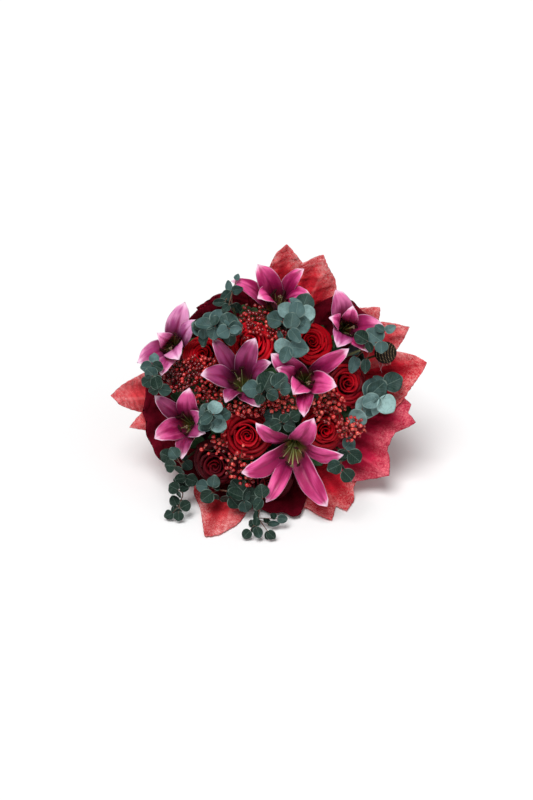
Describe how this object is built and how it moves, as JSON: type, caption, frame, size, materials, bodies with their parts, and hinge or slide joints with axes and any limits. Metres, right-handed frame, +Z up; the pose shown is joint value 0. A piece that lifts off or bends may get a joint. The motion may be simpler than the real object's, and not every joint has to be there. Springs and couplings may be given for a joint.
{
  "type": "flower bouquet",
  "caption": "Round hand-tied bouquet of pink lilies, red roses, berries and eucalyptus in a pleated red paper wrap, lying on a surface.",
  "frame": {"origin": "middle of the outline, on the surface that the bouquet lies on", "axes": "+X to the viewer's right across the flowers, the flowers face -Y and up, the stems point to +Y, +Z up from the surface"},
  "size_m": [0.4609, 0.4113, 0.3482],
  "materials": {
    "lily_pink": "soft fresh petals",
    "rose_red": "velvety fresh petals",
    "stem_green": "smooth fresh stems",
    "eucalyptus_green": "matte waxy leaves",
    "berry_red": "glossy berries",
    "seed_brown": "dry seed head",
    "paper_crimson": "matte fibre paper",
    "paper_red": "matte fibre paper",
    "twine_brown": "rough twine",
    "ribbon_red": "satin ribbon"
  },
  "bodies": {
    "root": {"berries_left": "berry_red", "berries_lower_left": "berry_red", "berries_middle": "berry_red", "berries_middle_left": "berry_red", "berries_right": "berry_red", "berries_top": "berry_red", "eucalyptus_centre": "eucalyptus_green", "eucalyptus_left": "eucalyptus_green", "eucalyptus_lower_left": "eucalyptus_green", "eucalyptus_lower_right": "eucalyptus_green", "eucalyptus_middle": "eucalyptus_green", "eucalyptus_right": "eucalyptus_green", "eucalyptus_tip": "eucalyptus_green", "eucalyptus_top": "eucalyptus_green", "eucalyptus_trailing_bottom": "eucalyptus_green", "eucalyptus_trailing_left": "eucalyptus_green", "eucalyptus_upper_left": "eucalyptus_green", "eucalyptus_upper_right": "eucalyptus_green", "lily_bottom": "lily_pink", "lily_bottom_stem": "stem_green", "lily_left": "lily_pink", "lily_left_stem": "stem_green", "lily_lower_left": "lily_pink", "lily_lower_left_stem": "stem_green", "lily_middle_left": "lily_pink", "lily_middle_left_stem": "stem_green", "lily_middle_right": "lily_pink", "lily_middle_right_stem": "stem_green", "lily_right": "lily_pink", "lily_right_stem": "stem_green", "lily_top": "lily_pink", "lily_top_stem": "stem_green", "paper_bottom_left": "paper_red", "paper_bottom_right": "paper_red", "paper_collar": "paper_crimson", "paper_left": "paper_red", "paper_lower_right": "paper_red", "paper_right": "paper_red", "paper_top": "paper_red", "paper_upper_right": "paper_red", "ribbon": "ribbon_red", "rose_bottom": "rose_red", "rose_bottom_stem": "stem_green", "rose_left": "rose_red", "rose_left_stem": "stem_green", "rose_lower_left": "rose_red", "rose_lower_left_stem": "stem_green", "rose_lower_right": "rose_red", "rose_lower_right_stem": "stem_green", "rose_middle": "rose_red", "rose_middle_stem": "stem_green", "rose_right": "rose_red", "rose_right_stem": "stem_green", "rose_top": "rose_red", "rose_top_right": "rose_red", "rose_top_right_stem": "stem_green", "rose_top_stem": "stem_green", "seed_head": "seed_brown", "twine": "twine_brown"}
  },
  "joints": []
}
